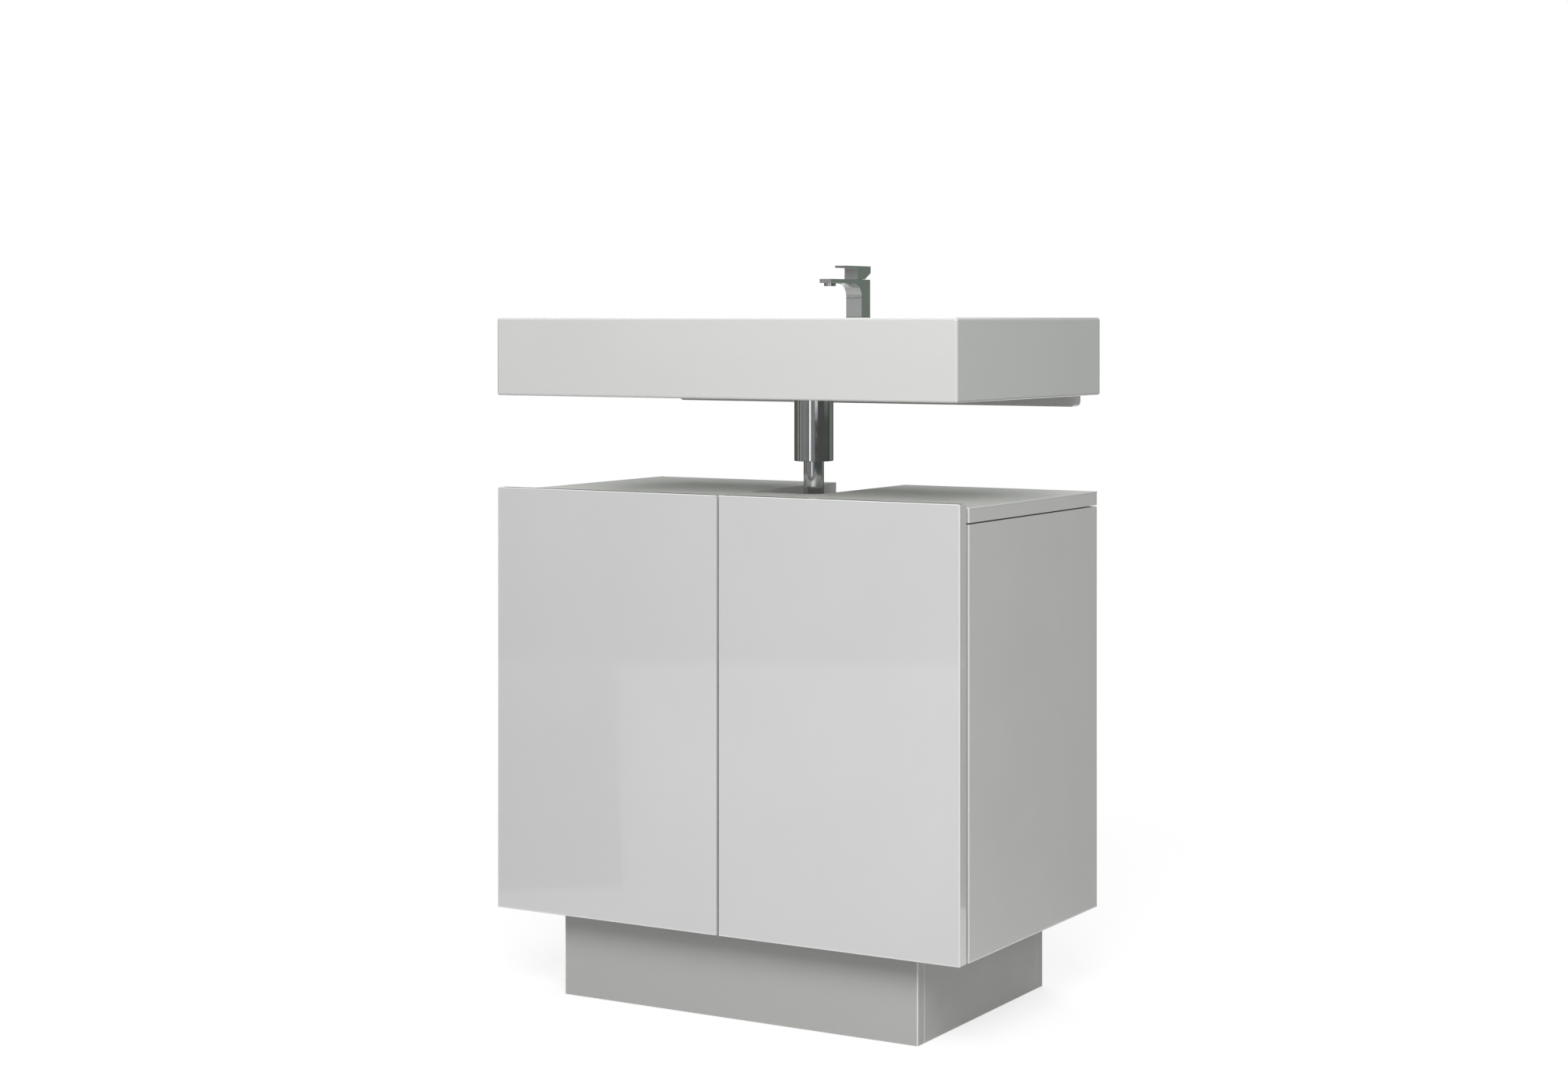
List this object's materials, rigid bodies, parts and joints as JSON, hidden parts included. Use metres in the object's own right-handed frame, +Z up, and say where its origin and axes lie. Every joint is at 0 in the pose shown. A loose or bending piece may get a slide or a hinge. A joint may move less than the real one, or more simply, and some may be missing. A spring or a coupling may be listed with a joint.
{
  "type": "bathroom vanity cabinet with slab basin",
  "caption": "Floor-standing white bathroom vanity with two slab doors on concealed hinges, a recessed plinth, a ceramic slab basin above it, a single lever tap and a bottle trap",
  "frame": {"origin": "on the floor, at the middle of the footprint", "axes": "+Z up, doors and bowl face -Y, the wall side is +Y, +X is the right-hand door as seen from the front"},
  "size_m": [0.6, 0.37, 0.8472],
  "materials": {
    "board_white": "satin lacquer on board",
    "back_board": "melamine facing",
    "door_gloss": "high gloss lacquer on board",
    "plinth_board": "satin lacquer on board",
    "ceramic_white": "glazed",
    "steel_bright": "nickel plated",
    "chrome_bright": "polished",
    "rubber_grey": "matte",
    "buffer_clear": "soft satin",
    "latch_plastic": "fine grain",
    "brass_plain": "machined"
  },
  "bodies": {
    "cabinet": {"back_panel": "back_board", "basin": "ceramic_white", "bottom_panel": "board_white", "front_rail": "board_white", "hinge_arms_left": "steel_bright", "hinge_arms_right": "steel_bright", "hinge_plates_left": "steel_bright", "hinge_plates_right": "steel_bright", "hinge_screws_left": "steel_bright", "hinge_screws_right": "steel_bright", "latch_housing_left": "latch_plastic", "latch_housing_right": "latch_plastic", "outlet_nut": "chrome_bright", "outlet_pipe": "chrome_bright", "overflow_ring": "chrome_bright", "pipe_collar": "rubber_grey", "plinth_back": "plinth_board", "plinth_brackets": "steel_bright", "plinth_front": "plinth_board", "plinth_side_left": "plinth_board", "plinth_side_right": "plinth_board", "shelf": "board_white", "shelf_pegs": "steel_bright", "side_panel_left": "board_white", "side_panel_right": "board_white", "tailpiece": "chrome_bright", "tap_aerator": "chrome_bright", "tap_body": "chrome_bright", "tap_cartridge": "brass_plain", "tap_gasket": "rubber_grey", "tap_inlets": "brass_plain", "tap_nut": "steel_bright", "tap_stud": "steel_bright", "tap_washer": "steel_bright", "top_panel": "board_white", "trap_bottle": "chrome_bright", "trap_cup": "chrome_bright", "trap_nut": "chrome_bright", "wall_rosette": "chrome_bright", "waste_flange": "chrome_bright", "waste_sleeve": "chrome_bright"},
    "door_left": {"door_left": "door_gloss", "hinge_cups_left": "steel_bright", "hinge_pins_left": "steel_bright", "cup_screws_left": "steel_bright", "door_buffers_left": "buffer_clear", "strike_plate_left": "steel_bright"},
    "door_right": {"door_right": "door_gloss", "hinge_cups_right": "steel_bright", "hinge_pins_right": "steel_bright", "cup_screws_right": "steel_bright", "door_buffers_right": "buffer_clear", "strike_plate_right": "steel_bright"},
    "latch_plunger_left": {"latch_plunger_left": "latch_plastic"},
    "latch_plunger_right": {"latch_plunger_right": "latch_plastic"},
    "waste_plug": {"waste_plug": "chrome_bright", "plug_seal": "rubber_grey"},
    "tap_spindle": {"tap_spindle": "brass_plain", "tap_cross_pin": "brass_plain"},
    "tap_lever": {"tap_lever": "chrome_bright"}
  },
  "joints": [
    {"name": "door_right_hinge", "type": "hinge", "parent": "cabinet", "child": "door_right", "pos_m": [0.2905, -0.171, 0.3442], "axis": [0, 0, 1], "range_deg": [0, 95]},
    {"name": "door_left_hinge", "type": "hinge", "parent": "cabinet", "child": "door_left", "pos_m": [-0.2905, -0.171, 0.3442], "axis": [0, 0, -1], "range_deg": [0, 95]},
    {"name": "latch_right_push", "type": "slide", "parent": "cabinet", "child": "latch_plunger_right", "axis": [0, 1, 0], "range_m": [0, 0.0025], "stiffness_N_per_m": 100},
    {"name": "latch_left_push", "type": "slide", "parent": "cabinet", "child": "latch_plunger_left", "axis": [0, 1, 0], "range_m": [0, 0.0025], "stiffness_N_per_m": 100},
    {"name": "waste_plug_lift", "type": "slide", "parent": "cabinet", "child": "waste_plug", "axis": [0, 0, 1], "range_m": [0, 0.008]},
    {"name": "tap_swivel", "type": "hinge", "parent": "cabinet", "child": "tap_spindle", "pos_m": [0, 0.142, 0.831], "axis": [0, 0, 1], "range_deg": [-45, 45]},
    {"name": "tap_lift", "type": "hinge", "parent": "tap_spindle", "child": "tap_lever", "pos_m": [0, 0.142, 0.8375], "axis": [-1, 0, 0], "range_deg": [0, 18]}
  ]
}
